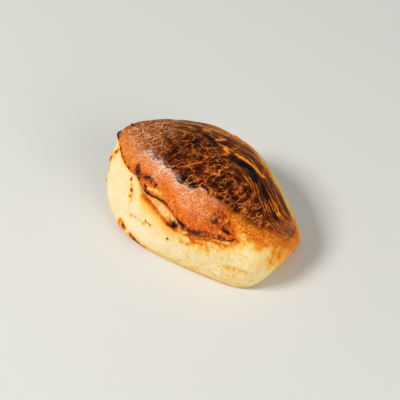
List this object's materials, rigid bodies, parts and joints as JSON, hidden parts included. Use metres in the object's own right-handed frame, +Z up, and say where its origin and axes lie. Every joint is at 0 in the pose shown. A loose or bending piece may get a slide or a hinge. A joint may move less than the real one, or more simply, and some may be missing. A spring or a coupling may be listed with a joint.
{
  "type": "cheese pogaca",
  "caption": "Shuttle-shaped baked bun with a browned crust over pale sides and an open seam along its front; rests on a flat foot.",
  "frame": {"origin": "middle of the flat foot that the bun rests on, under the centre of its outline", "axes": "+X along the bun to its low blunt end, +Z up, the open seam faces -Y"},
  "size_m": [0.1112, 0.078, 0.0479],
  "materials": {
    "crust": "satin egg-washed crust, dark brown on the crown and golden at the seam, over matt pale cream sides"
  },
  "bodies": {
    "root": {"bun": "crust"}
  },
  "joints": []
}
